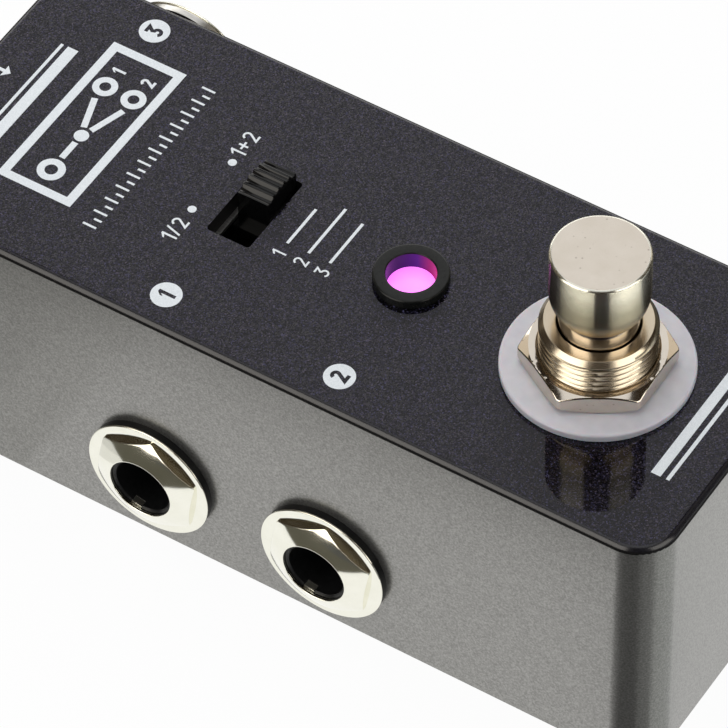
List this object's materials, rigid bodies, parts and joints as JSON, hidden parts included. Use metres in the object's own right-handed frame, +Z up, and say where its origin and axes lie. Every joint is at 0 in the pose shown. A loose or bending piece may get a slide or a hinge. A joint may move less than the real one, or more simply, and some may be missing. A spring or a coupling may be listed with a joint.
{
  "type": "aby switch pedal",
  "caption": "Small metal foot pedal that switches one common signal line between two others, with a push footswitch, a slide switch, a lamp and sockets.",
  "frame": {"origin": "middle of the underside, on the plane the pedal stands on, midway along and across the box", "axes": "+Z up, +X along the box towards the footswitch, -Y the long side with the two output jacks"},
  "size_m": [0.0936, 0.0426, 0.0503],
  "materials": {
    "shell_metal": "satin gunmetal paint with fine grain on the sides, glossy black-purple metallic flake under clear coat on the top face",
    "plate_metal": "satin dark paint",
    "screw_steel": "dark zinc",
    "nickel": "polished nickel plate",
    "chrome_nut": "polished chrome plate",
    "steel": "plated sheet steel",
    "nylon": "satin translucent white nylon",
    "black_plastic": "satin moulded black",
    "blue_plastic": "moulded blue",
    "lamp_resin": "clear resin, lit pink",
    "tinned": "tinned metal",
    "contact_brass": "spring bronze",
    "board": "glass fibre board with green mask",
    "chip": "black chip",
    "can": "sleeved capacitor can"
  },
  "bodies": {
    "root": {"enclosure_shell": "shell_metal", "base_plate": "plate_metal", "base_screws": "screw_steel", "footswitch_bushing": "nickel", "footswitch_nut": "nickel", "footswitch_washer": "nylon", "footswitch_lock_washer": "steel", "footswitch_inner_nut": "nickel", "footswitch_frame": "steel", "footswitch_body": "blue_plastic", "footswitch_terminals": "tinned", "footswitch_spring": "steel", "led_bezel": "black_plastic", "led_lamp": "lamp_resin", "led_leads": "tinned", "slide_switch_frame": "steel", "slide_switch_base": "black_plastic", "slide_switch_terminals": "tinned", "power_jack_housing": "black_plastic", "power_jack_pin": "tinned", "power_jack_contact": "contact_brass", "main_board": "board", "switch_board": "board", "board_header": "black_plastic", "board_header_pins": "tinned", "capacitors": "can", "chip_resistors": "chip", "protection_diode": "chip", "output_jack_1_body": "black_plastic", "output_jack_1_nut": "chrome_nut", "output_jack_1_washer": "black_plastic", "output_jack_1_mouth_tab": "tinned", "output_jack_1_tip_contact": "contact_brass", "output_jack_1_sleeve_contact": "contact_brass", "output_jack_2_body": "black_plastic", "output_jack_2_nut": "chrome_nut", "output_jack_2_washer": "black_plastic", "output_jack_2_mouth_tab": "tinned", "output_jack_2_tip_contact": "contact_brass", "output_jack_2_sleeve_contact": "contact_brass", "common_jack_body": "black_plastic", "common_jack_nut": "chrome_nut", "common_jack_washer": "black_plastic", "common_jack_mouth_tab": "tinned", "common_jack_tip_contact": "contact_brass", "common_jack_sleeve_contact": "contact_brass"},
    "footswitch_plunger": {"footswitch_cap": "nickel"},
    "slide_knob": {"slide_switch_knob": "black_plastic", "slide_switch_contact": "contact_brass"}
  },
  "joints": [
    {"name": "footswitch_press", "type": "slide", "parent": "root", "child": "footswitch_plunger", "axis": [0, 0, -1], "range_m": [0, 0.002], "stiffness_N_per_m": 1500, "springref_m": -0.002, "deforming": ["footswitch_spring"]},
    {"name": "slide_switch_travel", "type": "slide", "parent": "root", "child": "slide_knob", "axis": [0, -1, 0], "range_m": [0, 0.0046]}
  ]
}
